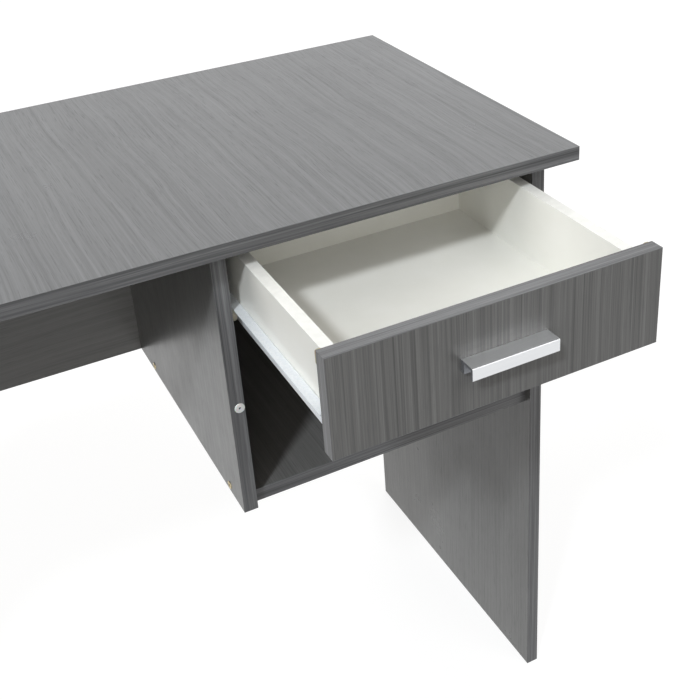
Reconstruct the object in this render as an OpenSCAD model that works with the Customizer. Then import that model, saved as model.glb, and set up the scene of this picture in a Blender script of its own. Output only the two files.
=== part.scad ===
// Knock-down writing desk: two panel legs, a modesty panel and one drawer bay
// with an open compartment below it. X runs to the right seen from the front,
// the front faces -Y and Z is up. The origin is on the floor, at the middle of
// the rectangle that the desk and its pulled-out drawer cover.

/* [Desktop] */
// Width of the desktop, left to right
desk_w = 1100; // [900:10:1600]
// Depth of the desktop, front to back
desk_d = 450; // [430:5:600]
// Height from the floor to the top face
desk_h = 727; // [700:1:780]
// Thickness of the desktop board
top_t = 15; // [15:1:25]
// How far the desktop passes the legs at the front
over_front = 28; // [10:1:33]
// How far the desktop passes the legs at the back
over_back = 27; // [10:1:32]
// How far the desktop passes the legs at each side
over_side = 22; // [5:1:60]

/* [Panels] */
// Thickness of the two panel legs
leg_t = 15; // [15:1:25]
// Thickness of the panel between the kneehole and the drawer bay
divider_t = 15; // [15:1:22]
// Height of that divider and of the modesty panel
divider_h = 303; // [220:1:420]
// Thickness of the compartment floor
floor_t = 15; // [15:1:22]
// How far the compartment floor lies behind the divider's front edge
floor_set = 10; // [0:1:40]
// Thickness of the modesty panel
modesty_t = 15; // [15:1:22]
// Distance from the modesty panel to the rear edges of the legs
modesty_set = 24; // [10:1:40]
// Thickness of the edge bands
band_t = 0.5; // [0.3:0.1:1.5]

/* [Drawer] */
// Clear width of the drawer bay
bay_w = 330; // [250:1:450]
// How far the drawer is pulled out
drawer_open = 203; // [0:1:225]
// Gap beside the drawer front, each side
front_gap = 3; // [2:0.5:5]
// Gap between the drawer front and the desktop
front_top_gap = 9; // [2:0.5:20]
// Height of the drawer front
front_h = 97; // [85:1:160]
// Thickness of the drawer front
front_t = 15; // [15:1:19]
// Thickness of the drawer sides
side_t = 12; // [11:0.5:16]
// How far the drawer sides stay below the top of the front
side_drop = 9; // [0:0.5:12]
// Thickness of the drawer back
back_t = 12; // [11:0.5:16]
// Thickness of the drawer bottom
bottom_t = 3; // [2.5:0.5:6]
// Height of the drawer bottom above the lower edge of the front
bottom_up = 11; // [6:0.5:20]
// Depth of the bottom's groove in the drawer front
groove_in = 5; // [3:0.5:6]
// Distance between the screws that hold the bottom under the drawer back
bottom_screw_pitch = 95; // [60:5:110]

/* [Slides] */
// Space for one slide between the bay and the drawer side
slide_gap = 12.5; // [12.5:0.1:14]
// Length of the steel rails
rail_l = 300; // [280:1:330]
// Length of the rails that stay in each other when the drawer is fully open
rail_hold = 75; // [70:1:95]
// Thickness of the rail steel
rail_t = 1.2; // [1:0.1:1.4]
// Distance from the back of the drawer front to the rails
rail_back = 2; // [1.5:0.5:4]
// How far the drawer sides pass the rear ends of the rails
side_past = 3; // [0:0.5:6]
// Width of the rail's foot under the drawer bottom
foot_w = 11; // [9:0.5:12]
// Diameter of the rollers
roller_d = 25; // [20:0.5:25]
// Running gap above and below a roller
roller_gap = 0.3; // [0.2:0.1:0.6]
// Width of the roller at the front of the cabinet rail
front_roller_w = 6.8; // [5:0.1:6.8]
// Width of the roller at the rear of the drawer rail
rear_roller_w = 5; // [4:0.1:5]
// Diameter of the roller rivets
rivet_d = 5; // [4:0.5:6]

/* [Handle] */
// Length of the handle
pull_l = 85; // [70:1:160]
// Height of the handle
pull_h = 12; // [10:0.5:20]
// How far the handle stands out
pull_out = 18; // [18:1:35]
// Thickness of the handle's front plate
pull_front_t = 3; // [2:0.5:5]
// Thickness of the handle's top plate
pull_top_t = 2.5; // [1.5:0.5:4]
// Thickness of the strip on the drawer front
pull_back_t = 5; // [4:0.5:6]
// Distance between the two handle screws
pull_pitch = 64; // [32:1:64]
// Diameter of the handle screws
pull_screw_d = 4; // [3:0.5:5]

/* [Fittings] */
// Diameter of the cam locks
cam_d = 15; // [12:1:15]
// Height of the cam locks in the desk
cam_h = 12.5; // [11:0.5:13]
// Height of the cam locks in the drawer sides
side_cam_h = 9.5; // [8:0.5:9.5]
// Distance from a desk panel's end to its cams
cam_reach = 34; // [24:1:40]
// Distance from a drawer side's end to its cam
side_cam_reach = 24; // [20:1:34]
// Diameter of the bolts that the cams pull on
bolt_d = 6; // [5:0.5:7]
// Depth of a bolt or dowel in the face of a board
face_in = 11; // [9:0.5:12]
// Diameter of the dowels in the desk
dowel_d = 8; // [6:0.5:8]
// Diameter of the dowels in the drawer
side_dowel_d = 6; // [5:0.5:6]
// Length of the dowels
dowel_l = 30; // [25:1:35]
// Distance from a panel's edge to its first fitting
fit_edge = 50; // [45:1:60]
// Distance from a fitting to the dowel beside it
fit_step = 32; // [25:1:40]
// Length of the one-piece connector screws
confirmat_l = 50; // [40:1:50]
// Diameter of their heads
confirmat_head_d = 8.5; // [8:0.5:11]
// Diameter of their plain part
confirmat_d = 6.3; // [5:0.1:7]
// Distance from the divider's ends to the connector screws at its back
divider_screw_edge = 60; // [45:1:80]
// Distance from the bay's walls to the connector screws behind the compartment floor
floor_screw_side = 80; // [50:1:100]
// Distance from the compartment floor's front edge to its first connector screw
floor_screw_front = 30; // [20:1:50]
// Distance from the modesty panel to the last connector screw of the floor
floor_screw_back = 59; // [40:1:80]
// Diameter of the small chipboard screws
screw_d = 3.5; // [3:0.1:4]
// Length of the screws that hold the rails
screw_l = 12; // [10:0.5:13]
// Length of the screws in the drawer back
back_screw_l = 30; // [25:1:40]
// Distance from the top of a drawer side to the upper screw in the drawer back
back_screw_top = 11; // [8:1:16]
// Distance between the two screws in the drawer back
back_screw_pitch = 30; // [20:1:30]
// Distance from the top of a drawer side to its upper dowel
side_dowel_top = 14; // [10:1:16]
// Distance from the drawer bottom to the lower dowel
side_dowel_low = 11; // [8:1:12]
// Distance from a rail's screw hole to the slot beside it
slot_step = 32; // [20:1:40]
// Length of the slots in the cabinet rails
slot_l = 9; // [6:0.5:12]
// Width of the slots in the cabinet rails
slot_w = 4.5; // [4:0.5:6]
// Diameter of the white plug in the divider's front edge
plug_d = 10.5; // [9:0.5:12]
// Height of the plug above the divider's lower edge
plug_up = 126; // [30:1:180]
// Distance of the plug from the middle of the divider's edge, towards the bay
plug_off = 2; // [0:0.5:2]

/* [Hidden] */
$fn = 48;

// Colours
board_grey = "#68696c";
band_grey = "#606164";
melamine_white = "#f1f0ea";
steel_white = "#e9eef2";
nylon_cream = "#e4dfc8";
zinc = "#b9bbbd";
beech = "#d8b988";
aluminium = "#d2d5d6";

// Radial clearance of a pin or plug in its hole
play = 0.05;
// Clearance of the drawer bottom in its groove
groove_play = 0.2;
// Length that the groove passes the drawer bottom at each end
groove_past = 1;
// Length that a cut passes the face it starts from
over = 1;
// Extra diameter of the bore that a cam bolt passes through
bolt_room = 2;

// Main planes. bay_y is the front edge of the legs and the divider.
leg_h = desk_h - top_t;
leg_d = desk_d - over_front - over_back;
bay_y = (over_front - desk_d + drawer_open + pull_out) / 2;
leg_in = desk_w / 2 - over_side - leg_t;
bay_x1 = leg_in;
bay_x0 = bay_x1 - bay_w;
divider_x = bay_x0 - divider_t;
divider_z = leg_h - divider_h;
modesty_y = leg_d - modesty_set - modesty_t;
floor_z = divider_z;

// Drawer, measured from the face of its front
front_z = leg_h - front_top_gap - front_h;
bottom_z = front_z + bottom_up;
side_z = bottom_z + bottom_t;
side_h = front_z + front_h - side_drop - side_z;
box_x0 = bay_x0 + slide_gap;
box_x1 = bay_x1 - slide_gap;
box_in0 = box_x0 + side_t;
box_in1 = box_x1 - side_t;
rail_set = front_t + rail_back;
box_end = rail_set + rail_l + side_past;

// Slides: u is the distance from the bay's wall, v the height above the floor
rivet_head_d = rivet_d + 4;
rivet_head_t = 0.8;
collar_d = rivet_d + 3;
bend_r = 0.8;
foot_v = bottom_z - rail_t;
channel_drop = 5;
channel_v = foot_v - channel_drop;
channel_h = roller_d + 2 * roller_gap + 2 * rail_t;
run_clear = 1;
run_v = channel_v + channel_h + run_clear;
run_top = run_v + rail_t;
run_edge = 2.3;
web_u = slide_gap - rail_t;
channel_u = web_u - 1;
lip_h = 2;
travel = rail_l - rail_hold;
front_roller_v = run_v - roller_gap - roller_d / 2;
rear_roller_v = channel_v + rail_t + roller_gap + roller_d / 2;
front_roller_u = web_u - 1.5 - front_roller_w;
rear_roller_u = web_u - 2.7 - rear_roller_w;
front_roller_y = rail_set + 0.5 + roller_d / 2;
rear_roller_y = rail_set + rail_l - roller_gap - roller_d / 2;
channel_y = front_roller_y + roller_d / 2 + 1.5;
stop_h = 3;
stop_w = 6;
stop_dv = roller_d / 2 - stop_h + roller_gap;
stop_y = rear_roller_y - travel - sqrt(pow(roller_d / 2, 2) - pow(stop_dv, 2)) - roller_gap;
rail_screw_y = [rail_set + 41, rail_set + rail_l / 2 + 20, rail_set + rail_l - 21];
foot_screw_y = [rail_set + 33, rail_set + rail_l / 2, rail_set + rail_l - 27];
foot_screw_u = slide_gap + 4.5;
rail_slot_y = [rail_screw_y[0] + slot_step, rail_screw_y[1] + slot_step, rail_screw_y[2] - slot_step];
pan_head_d = screw_d * 2;
pan_head_t = 1.2;

// Handle
pull_x = (bay_x0 + bay_x1) / 2;
pull_z = front_z + front_h / 2;

// Fittings. Each place is the point where the bolt or dowel crosses the joint,
// and the turn that takes Z along it into the end of a board and X to the cam's face.
face_down_left = [180, 0, 0];
face_down_right = [0, 180, 0];
face_down_back = [180, 0, 90];
into_right_back = [90, 0, 90];
into_left_back = [-90, 0, 90];
into_left_under = [180, 90, 0];
left_leg_x = -leg_in - leg_t / 2;
right_leg_x = leg_in + leg_t / 2;
divider_mid = bay_x0 - divider_t / 2;
modesty_mid = modesty_y + modesty_t / 2;
floor_mid = floor_z + floor_t / 2;
leg_fit_y = [fit_edge, modesty_y - cam_d];
divider_fit_y = [fit_edge, modesty_y - fit_edge];
modesty_fit_z = [divider_z + fit_edge, leg_h - fit_edge];
modesty_fit_x = [-leg_in + 4 * fit_edge, divider_x - 4 * fit_edge];
left_leg_cams = [for (y = leg_fit_y) [[left_leg_x, y, leg_h], face_down_left]];
right_leg_cams = [for (y = leg_fit_y) [[right_leg_x, y, leg_h], face_down_right]];
divider_cams = [for (y = divider_fit_y) [[divider_mid, y, leg_h], face_down_left]];
modesty_left_cams = [for (z = modesty_fit_z) [[-leg_in, modesty_mid, z], into_right_back]];
modesty_right_cams = [for (z = modesty_fit_z) [[leg_in, modesty_mid, z], into_left_back]];
modesty_top_cams = [for (x = modesty_fit_x) [[x, modesty_mid, leg_h], face_down_back]];
floor_cams = [for (y = divider_fit_y) [[leg_in, y, floor_mid], into_left_under]];
modesty_cams = concat(modesty_left_cams, modesty_right_cams, modesty_top_cams);
top_cams = concat(left_leg_cams, right_leg_cams, divider_cams, modesty_top_cams);
all_cams = concat(left_leg_cams, right_leg_cams, divider_cams, modesty_cams, floor_cams);
leg_dowel_y = [leg_fit_y[0] + fit_step, leg_fit_y[1] - fit_step];
divider_dowel_y = [fit_edge + fit_step, modesty_y - fit_edge - fit_step];
left_leg_dowels = [for (y = leg_dowel_y) [[left_leg_x, y, leg_h], face_down_left]];
right_leg_dowels = [for (y = leg_dowel_y) [[right_leg_x, y, leg_h], face_down_right]];
divider_dowels = [for (y = divider_dowel_y) [[divider_mid, y, leg_h], face_down_left]];
modesty_dowel_x = [modesty_fit_x[0] - fit_step, modesty_fit_x[1] + fit_step, pull_x];
modesty_top_dowels = [for (x = modesty_dowel_x) [[x, modesty_mid, leg_h], face_down_back]];
modesty_left_dowels = [[[-leg_in, modesty_mid, divider_z + fit_edge + fit_step], into_right_back]];
modesty_right_dowels = [[[leg_in, modesty_mid, divider_z + fit_edge + fit_step], into_left_back]];
floor_dowels = [for (y = divider_dowel_y) [[leg_in, y, floor_mid], into_left_under]];
modesty_dowels = concat(modesty_top_dowels, modesty_left_dowels, modesty_right_dowels);
top_dowels = concat(left_leg_dowels, right_leg_dowels, divider_dowels, modesty_top_dowels);
all_dowels = concat(left_leg_dowels, right_leg_dowels, divider_dowels, modesty_dowels, floor_dowels);

// Connector screws, each with its head's place and the turn of its axis
from_left = [0, 90, 0];
from_back = [90, 0, 0];
floor_confirmat_y = [floor_set + floor_screw_front, modesty_y - floor_screw_back];
floor_confirmats = [for (y = floor_confirmat_y) [[divider_x, y, floor_mid], from_left]];
modesty_back_y = modesty_y + modesty_t;
divider_confirmats = [
  for (z = [divider_z + divider_screw_edge, leg_h - divider_screw_edge])
    [[divider_mid, modesty_back_y, z], from_back]
];
floor_back_confirmats = [
  for (x = [bay_x0 + floor_screw_side, bay_x1 - floor_screw_side])
    [[x, modesty_back_y, floor_mid], from_back]
];
all_confirmats = concat(floor_confirmats, divider_confirmats, floor_back_confirmats);
confirmat_proud = 0.6;
confirmat_head_l = 2.5;
confirmat_neck_l = max(divider_t, modesty_t) + 5;
confirmat_core_d = confirmat_d - 1.3;
confirmat_socket_d = 4.6;

// Drawer fittings, measured from the face of the drawer front
side_dowel_low_z = side_z + side_dowel_low;
side_dowel_top_z = side_z + side_h - side_dowel_top;
side_dowel_z = [side_dowel_low_z, side_dowel_top_z];
side_bolt_z = (side_dowel_low_z + side_dowel_top_z) / 2;
back_screw_top_z = side_z + side_h - back_screw_top;
back_screw_z = [back_screw_top_z - back_screw_pitch, back_screw_top_z];
left_mid = box_x0 + side_t / 2;
right_mid = box_x1 - side_t / 2;
left_side_cam = [[left_mid, front_t, side_bolt_z], [-90, 0, 0]];
right_side_cam = [[right_mid, front_t, side_bolt_z], [-90, 180, 0]];
left_side_dowels = [for (z = side_dowel_z) [[left_mid, front_t, z], [-90, 0, 0]]];
right_side_dowels = [for (z = side_dowel_z) [[right_mid, front_t, z], [-90, 0, 0]]];

// Moves from the front edge of the bay, and from the face of the drawer front
module desk_place() translate([0, bay_y, 0]) children();
module drawer_place() translate([0, bay_y - drawer_open, 0]) children();

// Puts a child at each place of a list
module at(places) for (p = places) translate(p[0]) rotate(p[1]) children();

// Box between two opposite corners
module box(low, high) translate(low) cube(high - low);

// Left slide as drawn, right slide as its mirror image
module left_slide() translate([bay_x0, 0, 0]) children();
module right_slide() translate([bay_x1, 0, 0]) mirror([1, 0, 0]) children();

// Profile in u and v, drawn along Y from y0 to y1
module along_y(y0, y1) translate([0, y1, 0]) rotate([90, 0, 0]) linear_extrude(y1 - y0) children();

// Points of an arc about c
function arc(c, r, a0, a1, n = 6) =
  [for (i = [0 : n]) c + r * [cos(a0 + (a1 - a0) * i / n), sin(a0 + (a1 - a0) * i / n)]];

// Cylinder along X, starting at x = 0
module rod(d, l) rotate([0, 90, 0]) cylinder(d = d, h = l);

/* Holes for the fittings */

// Bore of a cam and of its bolt in the end of a board of thickness t
module cam_hole(t, reach, h, shaft_d) {
  translate([t / 2 - h, 0, reach]) rod(cam_d, h + over);
  translate([0, 0, -over]) cylinder(d = shaft_d + bolt_room, h = reach + over);
}

// Hole of a bolt or dowel in the face of a board
module face_hole(d) translate([0, 0, -face_in]) cylinder(d = d + 2 * play, h = face_in + over);

// Hole of a dowel in the end of a board
module end_hole(d, l) translate([0, 0, -over]) cylinder(d = d + 2 * play, h = l - face_in + play + over);

// Hole of a connector screw: stepped through the outer board and plain in the inner one
module confirmat_hole() {
  translate([0, 0, -over]) cylinder(d = confirmat_head_d + 2 * play, h = over + confirmat_head_l);
  translate([0, 0, -over]) cylinder(d = confirmat_d + 2 * play, h = confirmat_neck_l + over + play);
  cylinder(d = confirmat_core_d + 2 * play, h = confirmat_l + play);
}

module pilot_hole(l) rod(screw_d + 2 * play, l + play);

/* Fittings */

// Cam lock with the bolt's bore and a cross recess in its face
module cam_lock(t, reach, h, shaft_d) {
  translate([t / 2 - h + play, 0, reach]) difference() {
    rod(cam_d - 2 * play, h - play);
    translate([h - t / 2 - play, 0, -cam_d]) cylinder(d = shaft_d + bolt_room, h = cam_d + 4.5);
    for (turn = [0, 90]) translate([h - play - 1.5, 0, 0]) rotate([turn, 0, 0]) {
      translate([0, -cam_d / 3, -0.7]) cube([3, cam_d * 2 / 3, 1.4]);
    }
  }
}

// Bolt with its threaded end in the board's face and its ball head in the cam
module cam_bolt(reach, shaft_d) {
  translate([0, 0, -face_in + play]) cylinder(d = shaft_d, h = face_in);
  cylinder(d = shaft_d + 1.5, h = 1.2);
  cylinder(d = shaft_d - 1.5, h = reach);
  translate([0, 0, reach - 1]) sphere(d = shaft_d + 0.6, $fn = 32);
}

module dowel(d, l) translate([0, 0, -face_in + play]) {
  cylinder(d1 = d - 1.5, d2 = d, h = 1);
  translate([0, 0, 1]) cylinder(d = d, h = l - 2 - play);
  translate([0, 0, l - 1 - play]) cylinder(d1 = d, d2 = d - 1.5, h = 1);
}

// Connector screw with a flat head, a hexagon socket and a thinner threaded end
module confirmat() difference() {
  rotate_extrude() polygon([
    [0, -confirmat_proud],
    [confirmat_head_d / 2, -confirmat_proud],
    [confirmat_head_d / 2, 1],
    [confirmat_d / 2, confirmat_head_l],
    [confirmat_d / 2, confirmat_neck_l],
    [confirmat_core_d / 2, confirmat_neck_l],
    [confirmat_core_d / 2, confirmat_l - 3],
    [1, confirmat_l],
    [0, confirmat_l]
  ]);
  translate([0, 0, -confirmat_proud - over]) cylinder(d = confirmat_socket_d, h = over + 3.5, $fn = 6);
}

// Low pan head at x = 0 to -pan_head_t, shank along +X
module pan_screw(l) {
  rod(screw_d, l);
  difference() {
    translate([-pan_head_t, 0, 0]) rod(pan_head_d, pan_head_t);
    for (turn = [0, 90]) rotate([turn, 0, 0]) {
      translate([-pan_head_t - over, -pan_head_d / 3, -0.4]) cube([over + 0.7, pan_head_d * 2 / 3, 0.8]);
    }
  }
}

/* Desk */

module desktop() color(board_grey) desk_place() difference() {
  box(
    [-desk_w / 2 + band_t, -over_front + band_t, leg_h],
    [desk_w / 2 - band_t, leg_d + over_back - band_t, desk_h]
  );
  at(top_cams) face_hole(bolt_d);
  at(top_dowels) face_hole(dowel_d);
}

module desktop_edge_bands() color(band_grey) desk_place() {
  y0 = -over_front;
  y1 = leg_d + over_back;
  for (y = [y0, y1 - band_t]) box([-desk_w / 2, y, leg_h], [desk_w / 2, y + band_t, desk_h]);
  for (x = [-desk_w / 2, desk_w / 2 - band_t]) {
    box([x, y0 + band_t, leg_h], [x + band_t, y1 - band_t, desk_h]);
  }
}

// Leg panel between x0 and x0 + leg_t, without its edge bands
module leg_blank(x0) box([x0, band_t, 0], [x0 + leg_t, leg_d - band_t, leg_h]);

module left_leg() color(board_grey) desk_place() difference() {
  leg_blank(-leg_in - leg_t);
  at(left_leg_cams) cam_hole(leg_t, cam_reach, cam_h, bolt_d);
  at(left_leg_dowels) end_hole(dowel_d, dowel_l);
  at(modesty_left_cams) face_hole(bolt_d);
  at(modesty_left_dowels) face_hole(dowel_d);
}

module right_leg() color(board_grey) desk_place() difference() {
  leg_blank(leg_in);
  at(right_leg_cams) cam_hole(leg_t, cam_reach, cam_h, bolt_d);
  at(right_leg_dowels) end_hole(dowel_d, dowel_l);
  at(modesty_right_cams) face_hole(bolt_d);
  at(modesty_right_dowels) face_hole(dowel_d);
  at(floor_cams) face_hole(bolt_d);
  at(floor_dowels) face_hole(dowel_d);
  right_slide() rail_screw_places() mirror([1, 0, 0]) pilot_hole(screw_l - rail_t);
}

module leg_edge_bands() color(band_grey) desk_place() {
  for (x = [-leg_in - leg_t, leg_in], y = [0, leg_d - band_t]) {
    box([x, y, 0], [x + leg_t, y + band_t, leg_h]);
  }
}

module drawer_divider() color(board_grey) desk_place() difference() {
  box([divider_x, band_t, divider_z + band_t], [bay_x0, modesty_y, leg_h]);
  at(divider_cams) cam_hole(divider_t, cam_reach, cam_h, bolt_d);
  at(divider_dowels) end_hole(dowel_d, dowel_l);
  at(floor_confirmats) confirmat_hole();
  at(divider_confirmats) confirmat_hole();
  left_slide() rail_screw_places() mirror([1, 0, 0]) pilot_hole(screw_l - rail_t);
  plug_hole();
}

module compartment_floor() color(board_grey) desk_place() difference() {
  box([bay_x0, floor_set + band_t, floor_z], [bay_x1, modesty_y, floor_z + floor_t]);
  at(floor_cams) cam_hole(floor_t, cam_reach, cam_h, bolt_d);
  at(floor_dowels) end_hole(dowel_d, dowel_l);
  at(floor_confirmats) confirmat_hole();
  at(floor_back_confirmats) confirmat_hole();
}

module modesty_panel() color(board_grey) desk_place() difference() {
  box([-leg_in, modesty_y, divider_z + band_t], [leg_in, modesty_back_y, leg_h]);
  at(modesty_cams) cam_hole(modesty_t, cam_reach, cam_h, bolt_d);
  at(modesty_dowels) end_hole(dowel_d, dowel_l);
  at(divider_confirmats) confirmat_hole();
  at(floor_back_confirmats) confirmat_hole();
}

// Bands of the divider's front and lower edges, the floor's front and the modesty panel's foot
module panel_edge_bands() color(band_grey) desk_place() difference() {
  union() {
    box([divider_x, 0, divider_z], [bay_x0, band_t, leg_h]);
    box([divider_x, band_t, divider_z], [bay_x0, modesty_y, divider_z + band_t]);
    box([bay_x0, floor_set, floor_z], [bay_x1, floor_set + band_t, floor_z + floor_t]);
    box([-leg_in, modesty_y, divider_z], [leg_in, modesty_back_y, divider_z + band_t]);
  }
  plug_hole();
}

/* Plug in the divider's front edge, off its middle towards the bay */

plug_x = divider_mid + plug_off;
plug_z = divider_z + plug_up;
plug_bore_d = 3;
plug_bore_l = 6;
plug_stem_d = plug_d - 2.6;
plug_stem_l = 10;
plug_rim_t = 1.2;

module plug_hole() translate([plug_x, -over, plug_z]) rotate([-90, 0, 0]) {
  cylinder(d = plug_stem_d + 2 * play, h = plug_stem_l + over + play);
}

module divider_plug() color("white") desk_place() translate([plug_x, 0, plug_z]) rotate([90, 0, 0]) {
  rotate_extrude() polygon(concat(
    [[plug_bore_d / 2, -plug_bore_l], [plug_bore_d / 2, plug_rim_t]],
    arc([plug_d / 2 - 0.7, plug_rim_t - 0.7], 0.7, 90, 0),
    [[plug_d / 2, 0], [plug_stem_d / 2, 0], [plug_stem_d / 2, -plug_stem_l]],
    [[0, -plug_stem_l], [0, -plug_bore_l]]
  ));
}

/* Slides */

// Bent section of the cabinet rail: web on the wall, two flanges and an upturned lip
module channel_profile() {
  r = bend_r + rail_t;
  top = channel_v + channel_h;
  low_in = [channel_u - r, channel_v + r];
  polygon(concat(
    arc([r, channel_v + r], r, 180, 270),
    arc(low_in, r, 270, 360),
    [[channel_u, channel_v + rail_t + lip_h], [channel_u - rail_t, channel_v + rail_t + lip_h]],
    arc(low_in, bend_r, 360, 270),
    arc([r, channel_v + r], bend_r, 270, 180),
    arc([r, top - r], bend_r, 180, 90),
    [[channel_u, top - rail_t], [channel_u, top]],
    arc([r, top - r], r, 90, 180)
  ));
}

// Bent section of the drawer rail: foot under the bottom, web beside the side and running flange
module runner_profile() {
  c = [web_u - bend_r, run_v - bend_r];
  polygon(concat(
    [[slide_gap + foot_w, foot_v]],
    arc([slide_gap, bottom_z], rail_t, 270, 180),
    arc(c, bend_r, 0, 90),
    [[run_edge, run_v], [run_edge, run_top]],
    arc(c, bend_r + rail_t, 90, 0),
    [[slide_gap, bottom_z], [slide_gap + foot_w, bottom_z]]
  ));
}

// Places of the cabinet rail's screws, on the face of its web
module rail_screw_places() {
  for (y = rail_screw_y) translate([0, y, rear_roller_v]) children();
}

// Slots between the screw holes, in which the rail can be set forwards or back
module rail_slots() {
  for (y = rail_slot_y) translate([-over, y, rear_roller_v]) {
    for (end = [slot_w - slot_l, slot_l - slot_w]) {
      translate([0, end / 2, 0]) rod(slot_w, rail_t + 2 * over);
    }
    translate([0, (slot_w - slot_l) / 2, -slot_w / 2]) {
      cube([rail_t + 2 * over, slot_l - slot_w, slot_w]);
    }
  }
}

module cabinet_rail() difference() {
  union() {
    along_y(channel_y, rail_set + rail_l) channel_profile();
    rail_front_plate();
    closed_stop();
    open_stop();
  }
  rail_screw_places() translate([-over, 0, 0]) rod(screw_d + 2 * play, rail_t + 2 * over);
  rail_slots();
  translate([-over, front_roller_y, front_roller_v]) rod(rivet_d + 2 * play, rail_t + 2 * over);
}

// Stop for the closed drawer, folded from the web across the end of the channel
module closed_stop() {
  y = rail_set + rail_l;
  box([0, y, channel_v + channel_h / 4], [channel_u, y + rail_t, channel_v + channel_h]);
}

// Stop for the open drawer, bent down from the upper flange
module open_stop() {
  top = channel_v + channel_h;
  box([channel_u - stop_w, stop_y - rail_t, top - rail_t - stop_h], [channel_u, stop_y, top]);
}

// Flat front end of the rail's web, with two round corners
module rail_front_plate() {
  r = 6;
  low = channel_v + r;
  high = channel_v + channel_h - r;
  box([0, rail_set + r, channel_v], [rail_t, channel_y + over, channel_v + channel_h]);
  box([0, rail_set, low], [rail_t, rail_set + r, high]);
  for (v = [low, high]) translate([0, rail_set + r, v]) rod(2 * r, rail_t);
}

module left_cabinet_rail() color(steel_white) desk_place() left_slide() cabinet_rail();
module right_cabinet_rail() color(steel_white) desk_place() right_slide() cabinet_rail();

module drawer_rail() difference() {
  along_y(rail_set, rail_set + rail_l) runner_profile();
  for (y = foot_screw_y) translate([foot_screw_u, y, foot_v - over]) {
    cylinder(d = screw_d + 2 * play, h = rail_t + 2 * over);
  }
  translate([web_u - over, rear_roller_y, rear_roller_v]) rod(rivet_d + 2 * play, rail_t + 2 * over);
}

module left_drawer_rail() color(steel_white) drawer_place() left_slide() drawer_rail();
module right_drawer_rail() color(steel_white) drawer_place() right_slide() drawer_rail();

// Rivet of the front roller: shank through the web, collar, axle and head
module front_rivet() translate([0, front_roller_y, front_roller_v]) {
  rod(rivet_d, front_roller_u + front_roller_w + 2 * play);
  translate([rail_t, 0, 0]) rod(collar_d, front_roller_u - rail_t - 2 * play);
  translate([front_roller_u + front_roller_w + 2 * play, 0, 0]) rod(rivet_head_d, rivet_head_t);
}

// Rivet of the rear roller, from the drawer rail's web outwards
module rear_rivet() translate([0, rear_roller_y, rear_roller_v]) {
  head_u = rear_roller_u - 2 * play - rivet_head_t;
  collar_u = rear_roller_u + rear_roller_w + 2 * play;
  translate([head_u, 0, 0]) rod(rivet_d, slide_gap - head_u);
  translate([head_u, 0, 0]) rod(rivet_head_d, rivet_head_t);
  translate([collar_u, 0, 0]) rod(collar_d, web_u - collar_u);
}

module cabinet_roller_rivets() color(zinc) desk_place() {
  left_slide() front_rivet();
  right_slide() front_rivet();
}

module drawer_roller_rivets() color(zinc) drawer_place() {
  left_slide() rear_rivet();
  right_slide() rear_rivet();
}

// Nylon roller of width w on the X axis, dished on both sides, with a rounded tread
module roller(w) rotate([0, 90, 0]) rotate_extrude($fn = 64) {
  bore = rivet_d / 2 + play;
  rim = roller_d / 2;
  edge = 0.6;
  dish = w * 0.16;
  polygon(concat(
    [[bore, 0], [bore + 2, 0], [bore + 2.6, dish], [rim - 3, dish], [rim - 2.4, 0]],
    arc([rim - edge, edge], edge, 270, 360, 3),
    arc([rim - edge, w - edge], edge, 0, 90, 3),
    [[rim - 2.4, w], [rim - 3, w - dish], [bore + 2.6, w - dish], [bore + 2, w], [bore, w]]
  ));
}

module front_roller() {
  translate([front_roller_u, front_roller_y, front_roller_v]) roller(front_roller_w);
}

module rear_roller() {
  translate([rear_roller_u, rear_roller_y, rear_roller_v]) roller(rear_roller_w);
}

module left_cabinet_roller() color(nylon_cream) desk_place() left_slide() front_roller();
module right_cabinet_roller() color(nylon_cream) desk_place() right_slide() front_roller();
module left_drawer_roller() color(nylon_cream) drawer_place() left_slide() rear_roller();
module right_drawer_roller() color(nylon_cream) drawer_place() right_slide() rear_roller();

// Screws through the rail's web into the bay's wall
module wall_screws() {
  rail_screw_places() translate([rail_t, 0, 0]) mirror([1, 0, 0]) pan_screw(screw_l);
}

module cabinet_rail_screws() color(zinc) desk_place() {
  left_slide() wall_screws();
  right_slide() wall_screws();
}

// Places of the screws under the foot, with X turned upwards
module foot_screw_places() {
  for (y = foot_screw_y) translate([foot_screw_u, y, foot_v]) rotate([0, -90, 0]) children();
}

module drawer_rail_screws() color(zinc) drawer_place() {
  left_slide() foot_screw_places() pan_screw(screw_l);
  right_slide() foot_screw_places() pan_screw(screw_l);
}

/* Joints of the desk */

module cam_locks() color(zinc) desk_place() {
  at(concat(left_leg_cams, right_leg_cams)) cam_lock(leg_t, cam_reach, cam_h, bolt_d);
  at(divider_cams) cam_lock(divider_t, cam_reach, cam_h, bolt_d);
  at(modesty_cams) cam_lock(modesty_t, cam_reach, cam_h, bolt_d);
  at(floor_cams) cam_lock(floor_t, cam_reach, cam_h, bolt_d);
}

module cam_bolts() color(zinc) desk_place() at(all_cams) cam_bolt(cam_reach, bolt_d);
module wood_dowels() color(beech) desk_place() at(all_dowels) dowel(dowel_d, dowel_l);
module confirmat_screws() color("#cdbb8a") desk_place() at(all_confirmats) confirmat();

/* Drawer */

// Groove in the drawer front that takes the bottom's front edge
module bottom_groove() {
  box(
    [box_x0 - groove_past, front_t - groove_in, bottom_z],
    [box_x1 + groove_past, front_t + over, bottom_z + bottom_t + groove_play]
  );
}

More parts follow.
